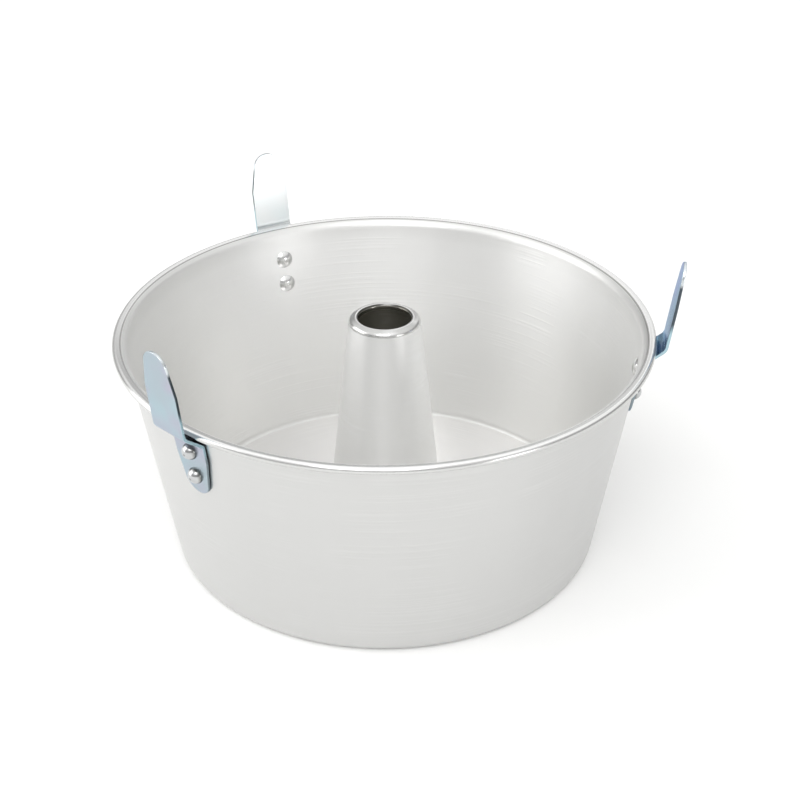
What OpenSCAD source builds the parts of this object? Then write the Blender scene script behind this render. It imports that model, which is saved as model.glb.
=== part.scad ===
// Angel food cake pan: a spun aluminium tube pan with a lift-out bottom.
// Three bent sheet legs, each held by two rivets, carry it upside down
// while the cake cools.
// Origin: centre of the base, on the table. +Z is up, +X is to the right
// as the pan is seen from its front, which faces -Y.

/* [Pan] */
// Outer diameter over the rolled rim
rim_d = 254; // [220:1:290]
// Height from the table to the top of the rim
pan_h = 112.5; // [95:0.5:125]
// Lean of the wall out from vertical, in degrees
wall_taper = 9.09; // [6:0.01:11]
// Thickness of the spun sheet of the wall
sheet_t = 1.1; // [0.8:0.05:1.3]
// Outside radius where the wall turns in at the foot
foot_r = 4.6; // [4:0.1:7]
// Width of the flat ledge that carries the lift-out bottom
ledge_w = 9; // [6:0.5:14]

/* [Rim] */
// Outside radius of the rolled bead
bead_r = 1.7; // [1.5:0.05:2.2]
// How far the sheet turns round in the bead, in degrees
bead_turn = 265; // [200:1:265]
// Radius where the wall flares out into the rim
flare_r = 4.5; // [3.5:0.1:6]
// Width of the straight land between the flare and the bead
land_w = 1.3; // [0.8:0.1:3]
// Slope of the land, rising outward, in degrees
land_slope = 12; // [4:1:18]

/* [Lift-out bottom] */
// Thickness of the disc
disc_t = 1.6; // [1.2:0.1:2.2]
// Gap between the edge of the disc and the wall
disc_gap = 1.5; // [1:0.1:2.5]
// Height of the bevel under the edge of the disc
disc_bevel_h = 1; // [0.5:0.1:1.1]
// How far short of the foot's curve the flat underside stops
disc_seat_gap = 0.8; // [0.5:0.1:2]
// Radius where the collar is drawn up from the disc
collar_r = 2.5; // [1.5:0.1:3]
// Straight height of the collar inside the tube
collar_h = 5; // [3:0.5:12]
// Clearance between the collar and the tube pressed over it
collar_gap = 0.1; // [0.05:0.01:0.3]

/* [Tube] */
// Outer diameter of the tube at the height of the rim
tube_top_d = 34.2; // [30:0.1:44]
// Lean of the tube in from vertical, in degrees
tube_taper = 6.34; // [3:0.01:9]
// Thickness of the tube's sheet
tube_t = 1.1; // [0.8:0.05:1.3]
// Height of the tube's mouth above the rim
tube_rise = 3.25; // [2:0.05:12]
// How far in the edge of the mouth's hole lies from the tube's outer face
mouth_inset = 4.7; // [4.5:0.1:8]
// Radius of the shoulder below the mouth
shoulder_r = 2.2; // [1.6:0.1:3]
// Slope of the mouth's face, rising inward, in degrees
mouth_slope = 24; // [10:1:35]
// Radius of the lip that turns down into the hole
lip_r = 1.4; // [1.35:0.05:2]
// Straight depth of the turned-down lip
lip_drop = 1.5; // [0.5:0.1:4]
// Radius of the sweep where the tube meets the disc
tube_foot_r = 3; // [2:0.1:6]
// Width of the flange that lies on the disc
flange_w = 1.2; // [0.5:0.1:6]

/* [Legs] */
// Direction of the front left leg, in degrees from +X
front_left_angle = 227.3; // [200:0.1:250]
// How far the front left leg and its rivets sit above the common height
front_left_lift = 0.2; // [-1.5:0.1:0.3]
// Tilt of the front left leg about its rivets, in degrees
front_left_tilt = -1.3; // [-2:0.1:2]
// Direction of the back left leg, in degrees from +X
back_left_angle = 117.6; // [95:0.1:140]
// How far the back left leg and its rivets sit above the common height
back_left_lift = -1; // [-1.5:0.1:0.3]
// Tilt of the back left leg about its rivets, in degrees
back_left_tilt = -0.9; // [-2:0.1:2]
// Direction of the right leg, in degrees from +X
right_angle = 352.5; // [330:0.1:380]
// How far the right leg and its rivets sit above the common height
right_lift = 0; // [-1.5:0.1:0.3]
// Tilt of the right leg about its rivets, in degrees
right_tilt = 0; // [-2:0.1:2]
// Thickness of the leg's sheet
leg_t = 1.4; // [1:0.1:2.5]
// Width of the leg
leg_w = 19.2; // [14:0.1:30]
// Height of the leg's tip above the rim
leg_rise = 38.9; // [25:0.1:60]
// Lean of the blade out from vertical, in degrees
blade_lean = 7.5; // [0:0.5:12]
// Height above the rim where the blade starts to narrow
blade_shoulder = 19.8; // [8:0.1:22]
// Radius of the blade's rounded tip
tip_r = 7; // [4:0.1:9]
// Slope of the arm that passes under the bead, in degrees
arm_slope = 39; // [30:1:50]
// Length of the arm between its two corners
arm_len = 12.5; // [10:0.1:16]
// Clearance between the arm and the bead
arm_gap = 0.9; // [0.6:0.1:2]
// Inside radius of the lower bend
lower_bend_r = 1.3; // [0.8:0.1:3]
// Inside radius of the upper bend
upper_bend_r = 4; // [1:0.1:5]
// Depth of the plate's rounded end below the rim
plate_drop = 38.4; // [32:0.1:60]
// Depth below the rim where the plate starts to narrow
plate_shoulder = 18.3; // [14:0.1:24]
// Radius of the plate's rounded end
plate_end_r = 7.3; // [5:0.1:9]
// Gap between the flat plate and the wall at its middle
plate_gap = 0.05; // [0.03:0.01:0.2]

/* [Rivets] */
// Depth of the upper rivet below the rim
rivet_drop = 15.4; // [14:0.1:20]
// Height between the two rivets of a leg
rivet_pitch = 13.2; // [10:0.1:14]
// Diameter of the round head outside
head_d = 7.8; // [6.8:0.1:9]
// Height of the round head outside
head_h = 3.4; // [1:0.1:3.5]
// Diameter of the flatter head inside the wall
inner_head_d = 8.8; // [7:0.1:9.5]
// Height of the head inside the wall
inner_head_h = 1.6; // [1:0.1:3]
// Diameter of the shank
shank_d = 4; // [3:0.1:5]
// Clearance round the shank in its holes
shank_gap = 0.05; // [0.03:0.01:0.2]

/* [Hidden] */
$fn = 144;

// Extra length by which one cutting shape runs past another
cut_over = 1;
// Largest turn between two points of a drawn curve, in degrees
arc_step = 7.5;
// How far a rivet's shank runs on into each of its heads
shank_root = 0.5;
aluminium = "#d7d8d9";
zinc = "#b9cdd8";
rivet_grey = "#e2e4e6";

// Direction, lift and tilt of each leg, as its modules take them
front_left = [front_left_angle, front_left_lift, front_left_tilt];
back_left = [back_left_angle, back_left_lift, back_left_tilt];
right = [right_angle, right_lift, right_tilt];

// Centre of the bead, and of the flare below it
bead_x = rim_d / 2 - bead_r;
bead_z = pan_h - bead_r;
flare_x = bead_x - land_w * cos(land_slope) + (flare_r - bead_r) * sin(land_slope);
flare_z = bead_z - land_w * sin(land_slope) - (flare_r - bead_r) * cos(land_slope);

// Straight part of the wall, on its inner face
wall_top_x = flare_x - flare_r * cos(wall_taper);
wall_top_z = flare_z + flare_r * sin(wall_taper);
wall_foot_z = foot_r - (foot_r - sheet_t) * sin(wall_taper);
wall_len = (wall_top_z - wall_foot_z) / cos(wall_taper);
wall_foot_x = wall_top_x - wall_len * sin(wall_taper);
foot_x = wall_foot_x - (foot_r - sheet_t) * cos(wall_taper);

// Radius of the wall's faces at height z
function wall_in(z) = wall_foot_x + (z - wall_foot_z) * tan(wall_taper);
function wall_out(z) = wall_in(z) + sheet_t / cos(wall_taper);
function foot_in(z) = foot_x + sqrt(pow(foot_r - sheet_t, 2) - pow(foot_r - z, 2));
function pan_in(z) = z < wall_foot_z ? foot_in(z) : wall_in(z);

// Lift-out bottom, resting on the ledge
disc_top_z = sheet_t + disc_t;
disc_r = pan_in(disc_top_z) - disc_gap;
disc_seat_r = foot_x - disc_seat_gap;

// Radius of the tube's outer face at height z
function tube_out(z) = tube_top_d / 2 + (pan_h - z) * tan(tube_taper);
foot_bend_z = disc_top_z + tube_t + tube_foot_r;
tube_foot_z = foot_bend_z - tube_foot_r * sin(tube_taper);
foot_bend_x = tube_out(tube_foot_z) + tube_foot_r * cos(tube_taper);

// Collar drawn up from the disc inside the tube
collar_foot_z = disc_top_z + collar_r * (1 - sin(tube_taper));
collar_out = tube_out(collar_foot_z) - (tube_t + collar_gap) / cos(tube_taper);
collar_bend_x = collar_out + collar_r * cos(tube_taper);

// Mouth of the tube: lip, sloping face and shoulder
mouth_d = tube_top_d - 2 * mouth_inset;
lip_x = mouth_d / 2 + lip_r;
lip_z = pan_h + tube_rise - lip_r;
near_x = lip_x + (lip_r - shoulder_r) * sin(mouth_slope);
near_z = lip_z + (lip_r - shoulder_r) * cos(mouth_slope);
mouth_w = (
    tube_out(near_z + shoulder_r * sin(tube_taper)) - near_x - shoulder_r * cos(tube_taper)
) / (cos(mouth_slope) - sin(mouth_slope) * tan(tube_taper));
shoulder_z = near_z - mouth_w * sin(mouth_slope) + shoulder_r * sin(tube_taper);
tube_len = (shoulder_z - tube_foot_z) / cos(tube_taper);

// Leg: the two corners of its inner face, in the plane through the axis
arm_x = bead_x + (bead_r + arm_gap) * sin(arm_slope);
arm_z = bead_z - (bead_r + arm_gap) * cos(arm_slope);
plate_x = plate_gap / cos(wall_taper);
arm_back = (arm_x - wall_out(arm_z) - plate_x) / (cos(arm_slope) - sin(arm_slope) * tan(wall_taper));
low_corner_z = arm_z - arm_back * sin(arm_slope);
high_corner_z = low_corner_z + arm_len * sin(arm_slope);
low_turn = 90 - wall_taper - arm_slope;
high_turn = 90 - blade_lean - arm_slope;
low_trim = (lower_bend_r + leg_t) * tan(low_turn / 2);
high_trim = upper_bend_r * tan(high_turn / 2);
strip_z = pan_h - plate_drop - cut_over;
strip_plate = (low_corner_z - strip_z) / cos(wall_taper) - low_trim;
strip_blade = (pan_h + leg_rise + cut_over - high_corner_z) / cos(blade_lean) - high_trim;
tip_z = pan_h + leg_rise - tip_r;
plate_end_z = pan_h - plate_drop + plate_end_r;
lower_drop = rivet_drop + rivet_pitch;
middle_z = pan_h - (rivet_drop + lower_drop) / 2;
pivot = [wall_out(middle_z), 0, middle_z];

// The wall is hollow to a flat head, so the inner head's edge meets it first
head_seat = pow(inner_head_d / 2, 2) / (2 * wall_in(pan_h - rivet_drop)) + plate_gap;

// A sheet's profile is a walk along its left-hand face. A step [length] goes
// straight, and a step [angle, r] turns, to the left where angle is positive,
// with r as the radius of the left-hand face. A pose is [x, z, heading].
function normal(h) = [-sin(h), cos(h)];
function beside(pose, d) = [pose.x, pose.y] + d * normal(pose[2]);
function turned(pose, angle, r) =
    let (
        signed_r = sign(angle) * r,
        end = beside(pose, signed_r) - signed_r * normal(pose[2] + angle)
    )
    [end.x, end.y, pose[2] + angle];
function ahead(pose, length) =
    [pose.x + length * cos(pose[2]), pose.y + length * sin(pose[2]), pose[2]];
function after(pose, step) =
    len(step) == 1 ? ahead(pose, step[0]) : turned(pose, step[0], step[1]);
function cuts(step) = len(step) == 1 ? 1 : ceil(abs(step[0]) / arc_step);
function stations(pose, steps, i = 0) =
    i == len(steps) ? [pose] : concat(
        [pose],
        [for (k = [1 : 1 : cuts(steps[i]) - 1])
            turned(pose, steps[i][0] * k / cuts(steps[i]), steps[i][1])],
        stations(after(pose, steps[i]), steps, i + 1)
    );

// Sheet of thickness t along a walk from the given pose
module sheet(pose, steps, t) {
    walk = stations(pose, steps);
    last = len(walk) - 1;
    polygon(concat(
        [for (i = [0 : last]) beside(walk[i], 0)],
        [for (i = [last : -1 : 0]) beside(walk[i], -t)]
    ));
}

// Carries children from a rivet's own frame, shank along +Z, to the wall
module at_rivet(place, drop) {
    z = pan_h - drop + place[1];
    rotate(place[0])
        translate([wall_out(z), 0, z])
            rotate([0, 90 + wall_taper, 0])
                children();
}

// Clearance holes of one leg's two rivets
module rivet_holes(place) {
    reach = sheet_t + leg_t + 2 * cut_over;
    for (drop = [rivet_drop, lower_drop])
        at_rivet(place, drop)
            translate([0, 0, -sheet_t - cut_over])
                cylinder(h = reach + plate_gap, d = shank_d + 2 * shank_gap);
}

// Lifts a leg along the wall and tilts it about the middle of its rivets
module on_wall(place) {
    rotate(place[0])
        translate(pivot + place[1] * [tan(wall_taper), 0, 1])
            rotate([0, 90 + wall_taper, 0])
                rotate(place[2])
                    rotate([0, -90 - wall_taper, 0])
                        translate(-pivot)
                            children();
}

// Ledge, foot, wall, flare and rolled bead, spun from one sheet
module pan_profile() {
    sheet(
        [foot_x - ledge_w, sheet_t, 0],
        [
            [ledge_w],
            [90 - wall_taper, foot_r - sheet_t],
            [wall_len],
            [wall_taper + land_slope - 90, flare_r],
            [land_w],
            [-bead_turn, bead_r]
        ],
        sheet_t
    );
}

module pan_body() {
    color(aluminium)
        difference() {
            rotate_extrude()
                pan_profile();
            for (place = [front_left, back_left, right])
                rivet_holes(place);
        }
}

// Bevelled disc with a collar drawn up round its hole
module disc_profile() {
    walk = stations(
        [collar_bend_x, sheet_t, 180],
        [[tube_taper - 90, collar_r + disc_t], [collar_h]]
    );
    last = len(walk) - 1;
    polygon(concat(
        [
            [disc_r, disc_top_z],
            [disc_r, sheet_t + disc_bevel_h],
            [disc_seat_r, sheet_t]
        ],
        [for (i = [0 : last]) beside(walk[i], 0)],
        [for (i = [last : -1 : 0]) beside(walk[i], -disc_t)]
    ));
}

module bottom_disc() {
    color(aluminium)
        rotate_extrude()
            disc_profile();
}

// Flange, sweep, cone, shoulder and turned-down lip of the tube
module tube_profile() {
    sheet(
        [foot_bend_x + flange_w, disc_top_z, 180],
        [
            [flange_w],
            [tube_taper - 90, tube_foot_r + tube_t],
            [tube_len],
            [90 - tube_taper - mouth_slope, shoulder_r - tube_t],
            [mouth_w],
            [90 + mouth_slope, lip_r - tube_t],
            [lip_drop]
        ],
        tube_t
    );
}

module centre_tube() {
    color(aluminium)
        rotate_extrude()
            tube_profile();
}

// Side view of a leg: plate, bend, arm, bend and blade
module leg_strip() {
    sheet(
        [wall_out(strip_z) + plate_x, strip_z, 90 - wall_taper],
        [
            [strip_plate],
            [-low_turn, lower_bend_r + leg_t],
            [arm_len - low_trim - high_trim],
            [high_turn, upper_bend_r],
            [strip_blade]
        ],
        leg_t
    );
}

// Where a line from point p touches a circle of radius r round [0, z]
function touch(p, z, r, side) =
    let (
        v = p - [0, z],
        a = atan2(v.y, v.x) + side * acos(r / norm(v))
    )
    [r * cos(a), z + r * sin(a)];

// Front view of a leg: both ends narrow to a round
module leg_outline() {
    low = [leg_w / 2, pan_h - plate_shoulder];
    high = [leg_w / 2, pan_h + blade_shoulder];
    half = [
        touch(low, plate_end_z, plate_end_r, -1),
        low,
        high,
        touch(high, tip_z, tip_r, 1)
    ];
    polygon(concat(half, [for (i = [3 : -1 : 0]) [-half[i].x, half[i].y]]));
    translate([0, tip_z])
        circle(tip_r);
    translate([0, plate_end_z])
        circle(plate_end_r);
}

module leg(place) {
    color(zinc)
        difference() {
            on_wall(place)
                intersection() {
                    translate([0, leg_w / 2 + cut_over, 0])
                        rotate([90, 0, 0])
                            linear_extrude(leg_w + 2 * cut_over)
                                leg_strip();
                    translate([wall_in(strip_z), 0, 0])
                        rotate([90, 0, 90])
                            linear_extrude(rim_d / 2)
                                leg_outline();
                }
            rivet_holes(place);
        }
}

// Round head of diameter d and height h, standing on z = 0
module head(d, h) {
    sphere_r = (pow(d / 2, 2) + pow(h, 2)) / (2 * h);
    rotate_extrude()
        intersection() {
            translate([0, h - sphere_r])
                circle(sphere_r);
            square([d / 2, h]);
        }
}

// Shank through wall and plate, with a head on each side
module rivet(place, drop) {
    outer_seat = plate_gap + leg_t;
    inner_seat = sheet_t + head_seat;
    color(rivet_grey)
        at_rivet(place, drop) {
            translate([0, 0, outer_seat])
                head(head_d, head_h);
            translate([0, 0, -inner_seat - shank_root])
                cylinder(h = inner_seat + outer_seat + 2 * shank_root, d = shank_d);
            translate([0, 0, -inner_seat])
                mirror([0, 0, 1])
                    head(inner_head_d, inner_head_h);
        }
}

pan_body();
bottom_disc();
centre_tube();
leg(front_left);  // front_left_leg
leg(back_left);  // back_left_leg
leg(right);  // right_leg
rivet(front_left, rivet_drop);  // front_left_upper_rivet
rivet(front_left, lower_drop);  // front_left_lower_rivet
rivet(back_left, rivet_drop);  // back_left_upper_rivet
rivet(back_left, lower_drop);  // back_left_lower_rivet
rivet(right, rivet_drop);  // right_upper_rivet
rivet(right, lower_drop);  // right_lower_rivet
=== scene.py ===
"""Angel food cake pan: its metals, the studio round it and the camera."""

import math

import bpy
from bpy.props import FloatProperty, FloatVectorProperty, PointerProperty, StringProperty
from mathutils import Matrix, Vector


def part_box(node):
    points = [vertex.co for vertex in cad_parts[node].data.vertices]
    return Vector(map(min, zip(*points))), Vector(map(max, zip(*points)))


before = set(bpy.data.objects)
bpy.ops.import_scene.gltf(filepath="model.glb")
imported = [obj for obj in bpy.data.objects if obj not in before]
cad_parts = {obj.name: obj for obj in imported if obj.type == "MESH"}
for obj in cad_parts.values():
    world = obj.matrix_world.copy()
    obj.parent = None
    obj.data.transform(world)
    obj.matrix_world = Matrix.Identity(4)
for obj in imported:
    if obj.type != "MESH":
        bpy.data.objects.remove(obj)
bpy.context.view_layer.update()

bl_info = {
    "name": "Angel food cake pan",
    "version": (1, 0, 0),
    "blender": (4, 5, 0),
    "location": "View3D > Sidebar > Cake pan",
    "description": "Finishes the spun pan, its legs and rivets, and sets the studio",
    "category": "Object",
}

MM = 0.001
LEG_NODES = ("front_left_leg", "back_left_leg", "right_leg")
RIVET_NODES = tuple(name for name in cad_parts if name.endswith("_rivet"))
RIM_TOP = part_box("pan_body")[1].z
RIM_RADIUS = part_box("pan_body")[1].x
MOUTH_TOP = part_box("centre_tube")[1].z
MOUTH_RADIUS = 12.4 * MM


def linear(code, alpha=1.0):
    """An sRGB hex colour as the linear colour that a socket takes."""
    parts = [int(code[i:i + 2], 16) / 255 for i in (1, 3, 5)]
    return tuple(c / 12.92 if c <= 0.04045 else ((c + 0.055) / 1.055) ** 2.4 for c in parts) + (alpha,)


def add(tree, kind, inputs=None, **settings):
    """Adds a node with its settings; each input is a value, or a socket to link from."""
    node = tree.nodes.new(kind)
    for name, value in settings.items():
        setattr(node, name, value)
    for key, value in (inputs or {}).items():
        if isinstance(value, bpy.types.NodeSocket):
            tree.links.new(value, node.inputs[key])
        else:
            node.inputs[key].default_value = value
    return node


def new_material(name):
    """An empty node material."""
    material = bpy.data.materials.new(name)
    material.use_nodes = True
    material.node_tree.nodes.clear()
    return material


def dress(node_names, material):
    """Gives the CAD nodes this material in every slot."""
    for name in node_names:
        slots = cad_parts[name].data.materials
        for i in range(len(slots)):
            slots[i] = material
        if not len(slots):
            slots.append(material)


def spread(tree, factor, low, high, start=0.0, end=1.0):
    """A pattern's values from start to end, as numbers from low to high."""
    return add(tree, "ShaderNodeMapRange", {
        "Value": factor, "From Min": start, "From Max": end, "To Min": low, "To Max": high,
    }).outputs[0]


def combine(tree, operation, one, other):
    """Two numbers or patterns joined by a sum, product or comparison."""
    return add(tree, "ShaderNodeMath", {0: one, 1: other}, operation=operation).outputs[0]


def blend(tree, factor, one, other):
    """One colour passing into another by a 0 to 1 pattern."""
    return add(
        tree, "ShaderNodeMix", {"Factor": factor, "A": one, "B": other}, data_type="RGBA"
    ).outputs["Result"]


def noise(tree, vector, size, detail):
    """Noise whose patches are about this size."""
    return add(
        tree, "ShaderNodeTexNoise", {"Vector": vector, "Scale": 1 / size, "Detail": detail}
    ).outputs["Fac"]


class SpunSettings(bpy.types.PropertyGroup):
    """Spun, satin-washed aluminium"""
    inside: StringProperty(name="Cake side", description="sRGB colour of the brighter inside", default="#fafaf9")
    # The cake side's colour is darker towards the bottom.
    low_inside: StringProperty(
        name="Cake side low down", description="sRGB colour of the more worn inside near the bottom", default="#e6e6e4"
    )
    # The outside's darker colour is painted shade: it stands for the darker floor that the outer wall mirrors.
    outside: StringProperty(name="Outside", description="sRGB colour of the satin outside", default="#d0d0cf")
    # Painted shade: the flare below the rim is darker on the back half.
    flare_shade: StringProperty(name="Flare", description="sRGB colour of the flare below the rim", default="#e2e2e0")
    # Painted shade in the crease inside the bead, on the back half only.
    crease_shade: StringProperty(name="Crease", description="sRGB colour of the crease inside the bead", default="#9a9a98")
    base: StringProperty(name="Bottom", description="sRGB colour of the bottom disc", default="#ecebea")
    mouth: StringProperty(name="Mouth", description="sRGB colour of the tube's shoulder", default="#cfcfcd")
    hollow: StringProperty(name="Hollow", description="sRGB colour inside the tube", default="#c9c7be")
    shade: StringProperty(name="Shade", description="sRGB colour just inside the mouth", default="#4c4b46")
    roughness: FloatProperty(name="Roughness", description="Mean roughness outside", default=0.36, min=0, max=1)
    cake_side_roughness: FloatProperty(
        name="Cake side roughness", description="Mean roughness of the cake side", default=0.46, min=0, max=1
    )
    burnished: FloatProperty(
        name="Burnished", description="Roughness of the rim and the tube's mouth", default=0.22, min=0, max=1
    )
    line_pitch: FloatProperty(
        name="Line pitch", description="Spacing of the spinning tool's lines", default=0.9 * MM, unit="LENGTH"
    )
    ripple_pitch: FloatProperty(
        name="Ripple pitch", description="Spacing of the tool's ripples", default=1.4 * MM, unit="LENGTH"
    )


class ZincSettings(bpy.types.PropertyGroup):
    """Clear-passivated zinc plate, which comes out of one bath in several tones; here the legs' tones are partly
    painted light
    """
    blue: StringProperty(name="Blue", description="sRGB colour of the front left leg", default="#aeb9c0")
    aqua: StringProperty(name="Aqua", description="sRGB colour of its greener patches", default="#aec1c8")
    lilac: StringProperty(name="Lilac", description="sRGB colour of its redder patches", default="#b5b5c2")
    # The back leg's pale colour and white bend are painted light, for the lit floor it mirrors.
    pale: StringProperty(name="Pale", description="sRGB colour of the back left leg", default="#e1e4e5")
    pale_aqua: StringProperty(name="Pale aqua", description="sRGB colour of its patches", default="#dbe4e6")
    pale_bend_highlight: StringProperty(name="Pale bend", description="sRGB colour of its bend", default="#ffffff")
    # The right leg's deeper colour and dark blue bend are partly its blue film and partly painted shade.
    deep: StringProperty(name="Deep", description="sRGB colour of the right leg", default="#a1b3c5")
    deep_lilac: StringProperty(name="Deep lilac", description="sRGB colour of its patches", default="#a9a6c6")
    bend: StringProperty(name="Bend", description="sRGB colour of the right leg's bend", default="#5a9cc0")
    film: StringProperty(name="Film", description="sRGB tint of the right leg seen edge on", default="#bccfe2")
    thin_film: StringProperty(name="Thin film", description="The same of the other legs", default="#dde7ee")
    # The sheared edges' colours are painted reflections: dark high on the blades, bright at the tip, lighter lower
    # down.
    cut: StringProperty(name="Cut edge", description="sRGB colour of the blades' sheared edges", default="#50585e")
    plate_cut: StringProperty(name="Plate's cut edge", description="sRGB colour of the edge by the rivets", default="#8b979d")
    tip_edge_highlight: StringProperty(name="Tip's cut edge", description="sRGB colour of the edge at the tip", default="#dfe5e8")
    low_cut: StringProperty(name="Low cut edge", description="sRGB colour of the edges lower down", default="#a5c1cb")
    roughness: FloatProperty(name="Roughness", description="Mean roughness", default=0.22, min=0, max=1)
    edge_radius: FloatProperty(
        name="Edge radius", description="Rounding of the sheared edges", default=0.3 * MM, unit="LENGTH"
    )


class RivetSettings(bpy.types.PropertyGroup):
    """Pressed aluminium rivets"""
    colour: StringProperty(name="Colour", description="sRGB colour of the heads", default="#cdcecf")
    # Painted highlight on the heads inside the pan.
    inner: StringProperty(name="Inner heads", description="sRGB colour of the cleaner heads inside", default="#e2e2e1")
    # Painted shade round the heads' feet and in the outside heads' dimples.
    foot: StringProperty(name="Foot", description="sRGB colour round the head's foot", default="#7d7e7c")
    roughness: FloatProperty(name="Roughness", description="Mean roughness", default=0.15, min=0, max=1)


class StudioSettings(bpy.types.PropertyGroup):
    """Floor, light and camera"""
    floor: StringProperty(name="Floor colour", description="sRGB colour of the floor", default="#f2f2f1")
    floor_size: FloatProperty(name="Floor size", description="Side of the floor", default=120.0, unit="LENGTH")
    floor_glow: FloatProperty(name="Floor glow", description="What lifts the seen floor to white", default=0.08)
    sky: FloatProperty(name="Sky light", description="Strength of the light from above", default=0.94)
    overhead: FloatProperty(name="Overhead", description="What the sky gains straight above", default=0.2)
    back_sky: FloatProperty(name="Back sky", description="Share of that light from behind the pan", default=0.85)
    low_sky: FloatProperty(name="Low sky", description="Strength of the light from the room's walls", default=0.5)
    eye: FloatVectorProperty(
        name="Camera", description="Where the camera stands", default=(0.0076, -0.6211, 0.4342), unit="LENGTH"
    )
    tilt: FloatProperty(
        name="Tilt", description="How far the camera looks down", default=math.radians(30.38), unit="ROTATION"
    )
    roll: FloatProperty(name="Roll", description="Roll of the camera", default=0.0011, unit="ROTATION")
    lens: FloatProperty(name="Lens", description="Focal length in millimetres", default=66.74)


def ring_noise(tree, along, direction, pitch, turns, detail):
    """Noise drawn out round the axis: pitch apart along the profile, turns changes round it."""
    step = combine(tree, "MULTIPLY", along, 1 / pitch)
    sides = add(tree, "ShaderNodeVectorMath", {0: direction, "Scale": turns}, operation="SCALE").outputs[0]
    split = add(tree, "ShaderNodeSeparateXYZ", {"Vector": sides})
    vector = add(
        tree, "ShaderNodeCombineXYZ", {"X": split.outputs["X"], "Y": split.outputs["Y"], "Z": step}
    ).outputs[0]
    return noise(tree, vector, 1.0, detail)


def facing_out(tree, direction):
    """How far the surface faces away from the axis: 1 straight away, -1 straight at it."""
    normal = add(tree, "ShaderNodeTexCoord").outputs["Normal"]
    return add(tree, "ShaderNodeVectorMath", {0: normal, 1: direction}, operation="DOT_PRODUCT").outputs["Value"]


def band(tree, value, middle, half_width):
    """1 where the value is at the middle, falling to 0 at half the band's width from it."""
    off = combine(tree, "ABSOLUTE", combine(tree, "SUBTRACT", value, middle), 0.0)
    return spread(tree, off, 1.0, 0.0, 0.0, half_width)


class Place:
    """What a spun surface's tones are drawn from."""

    def __init__(self, tree):
        self.at = add(tree, "ShaderNodeTexCoord").outputs["Object"]
        parts = add(tree, "ShaderNodeSeparateXYZ", {"Vector": self.at})
        flat = add(tree, "ShaderNodeCombineXYZ", {"X": parts.outputs["X"], "Y": parts.outputs["Y"]}).outputs[0]
        self.height = parts.outputs["Z"]
        self.radius = add(tree, "ShaderNodeVectorMath", {0: flat}, operation="LENGTH").outputs["Value"]
        self.along = combine(tree, "ADD", self.radius, self.height)
        self.direction = add(tree, "ShaderNodeVectorMath", {0: flat}, operation="NORMALIZE").outputs[0]
        self.out = facing_out(tree, self.direction)


def spun_metal(name, look, tones, ripple_glint):
    """Spun aluminium; tones gives its colour, its roughness and where it is burnished, ripple_glint how far a painted
    highlight lightens its ripples' tops.
    """
    material = new_material(name)
    tree = material.node_tree
    place = Place(tree)
    colour, rough, shine = tones(tree, look, place)
    lines = ring_noise(tree, place.along, place.direction, look.line_pitch, 3.0, 2.0)
    ripples = ring_noise(tree, place.along, place.direction, look.ripple_pitch, 1.2, 0.0)
    streaks = noise(tree, place.direction, 0.16, 2.0)
    grain = noise(tree, place.at, 0.5 * MM, 2.0)
    cloud = noise(tree, place.at, 35 * MM, 2.0)

    worn = combine(tree, "MULTIPLY", streaks, cloud)
    colour = blend(tree, spread(tree, worn, 0.0, 0.1), colour, linear("#c9c8c6"))
    rough = combine(tree, "ADD", rough, spread(tree, lines, -0.04, 0.04))
    rough = combine(tree, "ADD", rough, spread(tree, streaks, -0.04, 0.04))
    rough = combine(tree, "ADD", rough, spread(tree, cloud, -0.04, 0.04))
    rough = add(tree, "ShaderNodeMix", {"Factor": shine, "A": rough, "B": look.burnished}).outputs[0]
    relief = add(tree, "ShaderNodeBump", {"Strength": 0.25, "Distance": 0.01 * MM, "Height": lines}).outputs[0]
    patches = combine(tree, "MULTIPLY", spread(tree, ripples, 0.0, 1.0, 0.5, 0.7), spread(tree, cloud, 0.0, 1.0, 0.45, 0.6))
    # Painted highlight: the ripples' tops are lightened towards white.
    colour = blend(tree, combine(tree, "MULTIPLY", patches, ripple_glint), colour, linear("#ffffff"))
    relief = add(
        tree, "ShaderNodeBump", {"Strength": 0.8, "Distance": 0.06 * MM, "Height": patches, "Normal": relief}
    ).outputs[0]
    relief = add(
        tree, "ShaderNodeBump", {"Strength": 0.2, "Distance": 0.01 * MM, "Height": grain, "Normal": relief}
    ).outputs[0]
    tangent = add(tree, "ShaderNodeTangent", direction_type="RADIAL", axis="Z").outputs[0]
    metal = add(tree, "ShaderNodeBsdfPrincipled", {
        "Base Color": colour,
        "Metallic": 1.0,
        "Roughness": rough,
        "Anisotropic": 0.55,
        "Anisotropic Rotation": 0.25,
        "Tangent": tangent,
        "Normal": relief,
    })
    add(tree, "ShaderNodeOutputMaterial", {"Surface": metal.outputs[0]})
    return material


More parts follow.
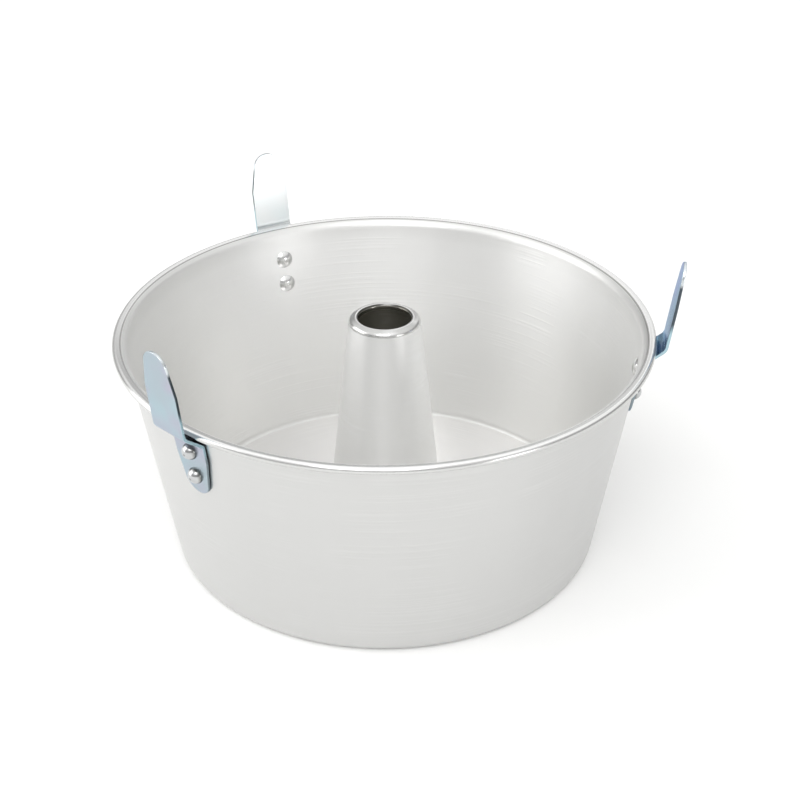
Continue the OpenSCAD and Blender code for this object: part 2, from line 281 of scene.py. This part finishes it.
def wall_tones(tree, look, place):
    """Bright cake side; outside painted darker as painted shade; burnished rim, with painted shade in the crease inside
    its bead and on the flare at the back.
    """
    far = spread(tree, place.radius, 0.0, 1.0, RIM_RADIUS - 5 * MM, RIM_RADIUS - 4 * MM)
    high = spread(tree, place.height, 0.0, 1.0, RIM_TOP - 5 * MM, RIM_TOP - 4 * MM)
    rim = combine(tree, "MULTIPLY", far, high)
    wall = spread(tree, place.out, 0.0, 1.0, -0.1, 0.1)
    bead = spread(tree, place.out, 0.0, 1.0, 0.55, 0.75)
    outside = add(tree, "ShaderNodeMix", {"Factor": rim, "A": wall, "B": bead}).outputs[0]
    # Darker towards the bottom of the cake side.
    cake_side = blend(tree, spread(tree, place.height, 0.0, 1.0, 0.01, 0.09), linear(look.low_inside), linear(look.inside))
    # Painted shade: the outside takes a darker colour than the cake side.
    colour = blend(tree, outside, cake_side, linear(look.outside))
    # Mask for the cake side's back half, where the painted flare and crease shade go.
    back = add(tree, "ShaderNodeSeparateXYZ", {"Vector": place.direction}).outputs["Y"]
    inside = combine(tree, "MULTIPLY", combine(tree, "SUBTRACT", 1.0, outside), spread(tree, back, 0.0, 1.0, -0.5, 0.0))
    flare_shade = combine(
        tree, "MINIMUM",
        spread(tree, place.radius, 0.0, 1.0, RIM_RADIUS - 8 * MM, RIM_RADIUS - 4.5 * MM),
        spread(tree, place.radius, 1.0, 0.0, RIM_RADIUS - 3.9 * MM, RIM_RADIUS - 3.3 * MM),
    )
    # Painted shade: a grey line along the crease inside the bead.
    crease_shade = band(tree, place.radius, RIM_RADIUS - 3.9 * MM, 0.5 * MM)
    colour = blend(tree, combine(tree, "MULTIPLY", inside, flare_shade), colour, linear(look.flare_shade))
    colour = blend(tree, combine(tree, "MULTIPLY", inside, crease_shade), colour, linear(look.crease_shade))
    rough = spread(tree, outside, look.cake_side_roughness, look.roughness)
    return colour, rough, rim


def disc_tones(tree, look, place):
    """The bottom disc takes the bottom's colour and the cake side's roughness on both faces."""
    level = combine(tree, "MULTIPLY", place.radius, 0.0)
    return blend(tree, level, linear(look.base), linear(look.inside)), look.cake_side_roughness, level


def tube_tones(tree, look, place):
    """Bright cake side, greyer shoulder, a bright lip and a dull hollow."""
    mouth = spread(tree, place.height, 0.0, 1.0, MOUTH_TOP - 3.2 * MM, MOUTH_TOP - 2.4 * MM)
    lip = spread(tree, place.radius, 1.0, 0.0, MOUTH_RADIUS + 1.3 * MM, MOUTH_RADIUS + 1.9 * MM)
    colour = blend(tree, mouth, linear(look.inside), linear(look.mouth))
    colour = blend(tree, combine(tree, "MULTIPLY", mouth, lip), colour, linear(look.inside))
    deep = spread(tree, place.height, 1.0, 0.0, MOUTH_TOP - 1.2 * MM, MOUTH_TOP - 0.6 * MM)
    hollow = blend(tree, deep, linear(look.shade), linear(look.hollow))
    inward = spread(tree, place.out, 1.0, 0.0, -0.45, -0.25)
    colour = blend(tree, inward, colour, hollow)
    rough = spread(tree, inward, look.cake_side_roughness, look.roughness)
    return colour, rough, mouth


class PAN_OT_spun_aluminium(bpy.types.Operator):
    """Finishes the pan, its bottom and its tube as spun aluminium"""
    bl_idname = "cake_pan.spun_aluminium"
    bl_label = "Spun aluminium"

    def execute(self, context):
        look = context.scene.cake_pan_spun
        # Spun 1100 aluminium sheet, alkali washed: a pale satin that
        # stretches highlights across the tool's fine rings.
        dress(("pan_body",), spun_metal("spun_satin_aluminium", look, wall_tones, 0.05))
        dress(("bottom_disc",), spun_metal("spun_bottom_aluminium", look, disc_tones, 0.1))
        dress(("centre_tube",), spun_metal("spun_tube_aluminium", look, tube_tones, 0.4))
        return {"FINISHED"}


def cut_edges(tree, place):
    """1 on the leg's sheared edges, 0 on the rolled faces of its sheet."""
    normal = add(tree, "ShaderNodeTexCoord").outputs["Normal"]
    sideways = add(tree, "ShaderNodeVectorMath", {0: place.direction, 1: (0, 0, 1)}, operation="CROSS_PRODUCT").outputs[0]
    lean = add(tree, "ShaderNodeVectorMath", {0: normal, 1: sideways}, operation="DOT_PRODUCT").outputs["Value"]
    side = spread(tree, combine(tree, "ABSOLUTE", lean, 0.0), 0.0, 1.0, 0.5, 0.7)
    up = add(tree, "ShaderNodeSeparateXYZ", {"Vector": normal}).outputs["Z"]
    top = combine(tree, "MULTIPLY", spread(tree, up, 0.0, 1.0, 0.5, 0.7), spread(tree, place.height, 0.0, 1.0, 0.13, 0.135))
    return combine(tree, "MAXIMUM", side, top)


def zinc_plate(name, look, base, patch_colour, tint_colour, bend_colour, film):
    """Zinc plate in one leg's tones, with painted reflections on its sheared edges: dark high on the blade, bright at
    the tip, lighter lower down.
    """
    material = new_material(name)
    tree = material.node_tree
    place = Place(tree)
    patch = noise(tree, place.at, 22 * MM, 1.0)
    tint = noise(tree, place.at, 14 * MM, 1.5)
    grain = noise(tree, place.at, 0.6 * MM, 2.0)
    colour = blend(tree, spread(tree, patch, 0.0, 1.0, 0.35, 0.65), linear(base), linear(patch_colour))
    colour = blend(tree, spread(tree, tint, 0.0, 1.0, 0.45, 0.7), colour, linear(tint_colour))
    # The bend band: a lilac tint on the front leg, a painted highlight on the back leg, partly painted shade on the
    # right leg.
    colour = blend(tree, band(tree, place.height, 0.102, 0.012), colour, linear(bend_colour))
    edge = cut_edges(tree, place)
    # Painted reflections along the sheared edges, changing with height.
    cut = blend(tree, spread(tree, place.height, 0.0, 1.0, 0.096, 0.1), linear(look.plate_cut), linear(look.low_cut))
    cut = blend(tree, spread(tree, place.height, 0.0, 1.0, 0.12, 0.125), cut, linear(look.cut))
    cut = blend(tree, spread(tree, place.height, 0.0, 1.0, 0.142, 0.144), cut, linear(look.tip_edge_highlight))
    colour = blend(tree, edge, colour, cut)
    rough = spread(tree, grain, look.roughness - 0.04, look.roughness + 0.04)
    relief = add(
        tree, "ShaderNodeBump", {"Strength": 0.2, "Distance": 0.01 * MM, "Height": grain}
    ).outputs[0]
    metal = add(tree, "ShaderNodeBsdfPrincipled", {
        "Base Color": colour,
        "Metallic": 1.0,
        "Roughness": rough,
        "Specular Tint": linear(film),
        "Normal": relief,
    })
    add(tree, "ShaderNodeOutputMaterial", {"Surface": metal.outputs[0]})
    return material


def soften(node, radius):
    """Rounds a leg's edges with modifiers, over its merged and simplified faces."""
    node.modifiers.new("merge", "WELD").merge_threshold = 0.001 * MM
    flat = node.modifiers.new("flat", "DECIMATE")
    flat.decimate_type = "DISSOLVE"
    flat.angle_limit = math.radians(0.5)
    bevel = node.modifiers.new("edges", "BEVEL")
    bevel.width = radius
    bevel.segments = 2
    bevel.limit_method = "ANGLE"
    bevel.angle_limit = math.radians(50)
    node.modifiers.new("shading", "WEIGHTED_NORMAL")


class PAN_OT_zinc_legs(bpy.types.Operator):
    """Finishes the legs as zinc-plated steel with softened edges"""
    bl_idname = "cake_pan.zinc_legs"
    bl_label = "Zinc-plated legs"

    def execute(self, context):
        look = context.scene.cake_pan_zinc
        # Bright zinc plate with a clear blue passivation. The legs' tones differ: blue in
        # front; pale at the back, painted light for the lit floor it mirrors, with a painted
        # highlight along its bend; deep at the right, partly its blue film and partly painted shade.
        dress(("front_left_leg",), zinc_plate(
            "zinc_plated_steel_blue", look, look.blue, look.aqua, look.lilac, look.lilac, look.thin_film))
        dress(("back_left_leg",), zinc_plate(
            "zinc_plated_steel_pale", look, look.pale, look.pale_aqua, look.pale, look.pale_bend_highlight, look.thin_film))
        dress(("right_leg",), zinc_plate(
            "zinc_plated_steel_deep", look, look.deep, look.blue, look.deep_lilac, look.bend, look.film))
        for name in LEG_NODES:
            soften(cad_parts[name], look.edge_radius)
        return {"FINISHED"}


class PAN_OT_rivets(bpy.types.Operator):
    """Finishes the rivets as pressed aluminium"""
    bl_idname = "cake_pan.rivets"
    bl_label = "Rivets"

    def execute(self, context):
        look = context.scene.cake_pan_rivets
        # Cold-headed aluminium: smooth and bright, with small scuffs, painted shade in a
        # grey ring round each head's foot and, outside, a painted dark spot for the shade
        # of the small dimple from the header's pin; the heads inside carry a painted highlight.
        material = new_material("pressed_aluminium")
        tree = material.node_tree
        place = Place(tree)
        normal = add(tree, "ShaderNodeTexCoord").outputs["Normal"]
        axis = add(tree, "ShaderNodeVectorMath", {0: place.direction, 1: (0, 0, -0.15)}, operation="ADD").outputs[0]
        axis = add(tree, "ShaderNodeVectorMath", {0: axis}, operation="NORMALIZE").outputs[0]
        ahead = add(tree, "ShaderNodeVectorMath", {0: normal, 1: axis}, operation="DOT_PRODUCT").outputs["Value"]
        lean = combine(tree, "ABSOLUTE", ahead, 0.0)
        scuff = noise(tree, place.at, 1.5 * MM, 3.0)
        rough = spread(tree, scuff, look.roughness - 0.06, look.roughness + 0.08)
        colour = blend(tree, scuff, linear(look.colour), linear("#b4b5b6"))
        # Painted highlight: the heads inside the pan are painted lighter.
        colour = blend(tree, spread(tree, ahead, 1.0, 0.0, -0.1, 0.1), colour, linear(look.inner))
        # Painted shade on the steep sides round each head's foot.
        colour = blend(tree, spread(tree, lean, 1.0, 0.0, 0.3, 0.6), colour, linear(look.foot))
        # Painted shade: a dark spot for the dimple in the middle of the outside heads.
        colour = blend(tree, spread(tree, ahead, 0.0, 1.0, 0.985, 0.995), colour, linear(look.foot))
        relief = add(
            tree, "ShaderNodeBump", {"Strength": 0.3, "Distance": 0.05 * MM, "Height": scuff}
        ).outputs[0]
        metal = add(tree, "ShaderNodeBsdfPrincipled", {
            "Base Color": colour, "Metallic": 1.0, "Roughness": rough, "Normal": relief,
        })
        add(tree, "ShaderNodeOutputMaterial", {"Surface": metal.outputs[0]})
        dress(RIVET_NODES, material)
        return {"FINISHED"}


def seen(tree):
    """1 for camera, glossy and transmission rays, 0 for the rays that light the object."""
    path = add(tree, "ShaderNodeLightPath")
    first = combine(tree, "MAXIMUM", path.outputs["Is Camera Ray"], path.outputs["Is Glossy Ray"])
    return combine(tree, "MAXIMUM", first, path.outputs["Is Transmission Ray"])


def soft_lamp(name, azimuth, elevation, distance, size, energy):
    """A square area lamp that faces the pan from an azimuth, in degrees clockwise from the back."""
    turn, rise = math.radians(azimuth), math.radians(elevation)
    middle = Vector((0, 0, 0.06))
    away = Vector((math.sin(turn) * math.cos(rise), math.cos(turn) * math.cos(rise), math.sin(rise)))
    lamp = bpy.data.lights.new(name, "AREA")
    lamp.shape = "SQUARE"
    lamp.size = size
    lamp.energy = energy
    thing = bpy.data.objects.new(name, lamp)
    bpy.context.scene.collection.objects.link(thing)
    thing.location = middle + distance * away
    thing.rotation_euler = (-away).to_track_quat("-Z", "Y").to_euler()


class PAN_OT_studio(bpy.types.Operator):
    """Sets the floor, the light and the camera"""
    bl_idname = "cake_pan.studio"
    bl_label = "Studio"

    def execute(self, context):
        look = context.scene.cake_pan_studio
        scene = context.scene
        scene.view_settings.view_transform = "Standard"

        bpy.ops.mesh.primitive_plane_add(size=look.floor_size)
        floor = context.active_object
        floor.name = "floor"
        material = new_material("studio_floor")
        tree = material.node_tree
        paint = add(tree, "ShaderNodeBsdfDiffuse", {"Color": linear(look.floor)}).outputs[0]
        lift = spread(tree, seen(tree), 0.0, look.floor_glow)
        glow = add(tree, "ShaderNodeEmission", {"Color": linear("#ffffff"), "Strength": lift}).outputs[0]
        both = add(tree, "ShaderNodeAddShader", {0: paint, 1: glow}).outputs[0]
        add(tree, "ShaderNodeOutputMaterial", {"Surface": both})
        floor.data.materials.append(material)

        world = bpy.data.worlds.new("studio")
        scene.world = world
        world.use_nodes = True
        tree = world.node_tree
        tree.nodes.clear()
        way = add(tree, "ShaderNodeTexCoord").outputs["Generated"]
        way = add(tree, "ShaderNodeSeparateXYZ", {"Vector": way})
        rise = way.outputs["Z"]
        strength = spread(tree, rise, look.low_sky, look.sky, 0.4, 0.52)
        strength = combine(tree, "ADD", strength, spread(tree, rise, 0.0, look.overhead, 0.6, 0.9))
        strength = combine(tree, "MULTIPLY", strength, spread(tree, way.outputs["Y"], 1.1, look.back_sky, -1.0, 1.0))
        glow = add(tree, "ShaderNodeBackground", {"Color": linear("#ffffff"), "Strength": strength})
        add(tree, "ShaderNodeOutputWorld", {"Surface": glow.outputs[0]})

        soft_lamp("left_softbox", 270, 20, 1.6, 1.5, 11.0)
        soft_lamp("front_softbox", 186, 50, 1.6, 0.9, 7.2)
        soft_lamp("corner_softbox", 132, 4, 1.6, 0.5, 3.2)
        soft_lamp("back_softbox", 20, 22, 1.6, 0.9, 0.8)

        lens = bpy.data.cameras.new("camera")
        lens.sensor_width = 36.0
        lens.lens = look.lens
        eye = bpy.data.objects.new("camera", lens)
        scene.collection.objects.link(eye)
        eye.location = look.eye
        eye.rotation_euler = (math.pi / 2 - look.tilt, look.roll, 0)
        scene.camera = eye
        return {"FINISHED"}


class PAN_PT_cake_pan(bpy.types.Panel):
    """Steps that finish the pan"""
    bl_label = "Cake pan"
    bl_space_type = "VIEW_3D"
    bl_region_type = "UI"
    bl_category = "Cake pan"

    def draw(self, context):
        for step in STEPS:
            self.layout.operator(step.bl_idname)


SETTINGS = {
    "cake_pan_spun": SpunSettings,
    "cake_pan_zinc": ZincSettings,
    "cake_pan_rivets": RivetSettings,
    "cake_pan_studio": StudioSettings,
}
STEPS = (PAN_OT_spun_aluminium, PAN_OT_zinc_legs, PAN_OT_rivets, PAN_OT_studio)


def register():
    for kind in (*SETTINGS.values(), *STEPS, PAN_PT_cake_pan):
        bpy.utils.register_class(kind)
    for name, kind in SETTINGS.items():
        setattr(bpy.types.Scene, name, PointerProperty(type=kind))


def unregister():
    for name in SETTINGS:
        delattr(bpy.types.Scene, name)
    for kind in (PAN_PT_cake_pan, *reversed(STEPS), *reversed(list(SETTINGS.values()))):
        bpy.utils.unregister_class(kind)


def main():
    register()
    bpy.ops.cake_pan.spun_aluminium()
    bpy.ops.cake_pan.zinc_legs()
    bpy.ops.cake_pan.rivets()
    bpy.ops.cake_pan.studio()


if __name__ == "__main__":
    main()
